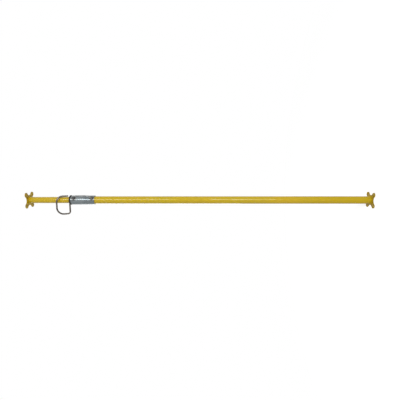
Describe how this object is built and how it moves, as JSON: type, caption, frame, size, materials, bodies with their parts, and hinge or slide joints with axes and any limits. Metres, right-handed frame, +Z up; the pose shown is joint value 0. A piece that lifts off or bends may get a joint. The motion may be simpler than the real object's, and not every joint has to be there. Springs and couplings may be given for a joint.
{
  "type": "adjustable steel prop",
  "caption": "Telescopic steel shoring prop with flower end plates, a covered-thread nut with two bar handles, and a captive wire pin.",
  "frame": {"origin": "centre of the base plate's underside, on the axis of the tubes", "axes": "+Z up along the tubes from the base plate to the head plate; X and Y along the sides of the square that the plate's four holes make; the pin pushes in along +X"},
  "size_m": [0.143, 0.124, 2.2],
  "materials": {
    "yellow_paint": "gloss paint, dusty and lightly chipped",
    "zinc_sleeve": "bright zinc plate",
    "zinc_bar": "dull zinc with welded feet",
    "dark_ring": "black mill scale",
    "pin_bar": "drawn bar, dull with bright rubs",
    "plain_steel": "oiled, unpainted"
  },
  "bodies": {
    "outer_body": {"base_plate": "yellow_paint", "base_weld": "yellow_paint", "outer_tube": "yellow_paint", "thread_collar": "plain_steel", "stop_bush": "plain_steel"},
    "inner_body": {"inner_tube": "yellow_paint", "guide_bush": "plain_steel", "stop_ring": "plain_steel", "head_plate": "yellow_paint", "head_weld": "yellow_paint"},
    "ring_body": {"thrust_ring": "dark_ring"},
    "nut_body": {"nut_sleeve": "zinc_sleeve", "nut_top_ring": "zinc_sleeve", "nut_keeper_ring": "plain_steel", "handle_front": "zinc_bar", "handle_back": "zinc_bar", "handle_welds": "zinc_bar"},
    "pin_body": {"captive_pin": "pin_bar"}
  },
  "joints": [
    {"name": "inner_slide", "type": "slide", "parent": "outer_body", "child": "inner_body", "axis": [0, 0, 1], "range_m": [0, 1.7]},
    {"name": "nut_lift", "type": "slide", "parent": "outer_body", "child": "ring_body", "axis": [0, 0, 1], "range_m": [0, 0.1]},
    {"name": "nut_turn", "type": "hinge", "parent": "ring_body", "child": "nut_body", "pos_m": [0, 0, 1.8465], "axis": [0, 0, 1], "range_deg": [0, 4500]},
    {"name": "pin_push", "type": "slide", "parent": "ring_body", "child": "pin_body", "axis": [1, 0, 0], "range_m": [0, 0.052]}
  ],
  "couplings": [
    {"joint": "nut_lift", "follows": "nut_turn", "m_per_rad": 0.0012732}
  ]
}
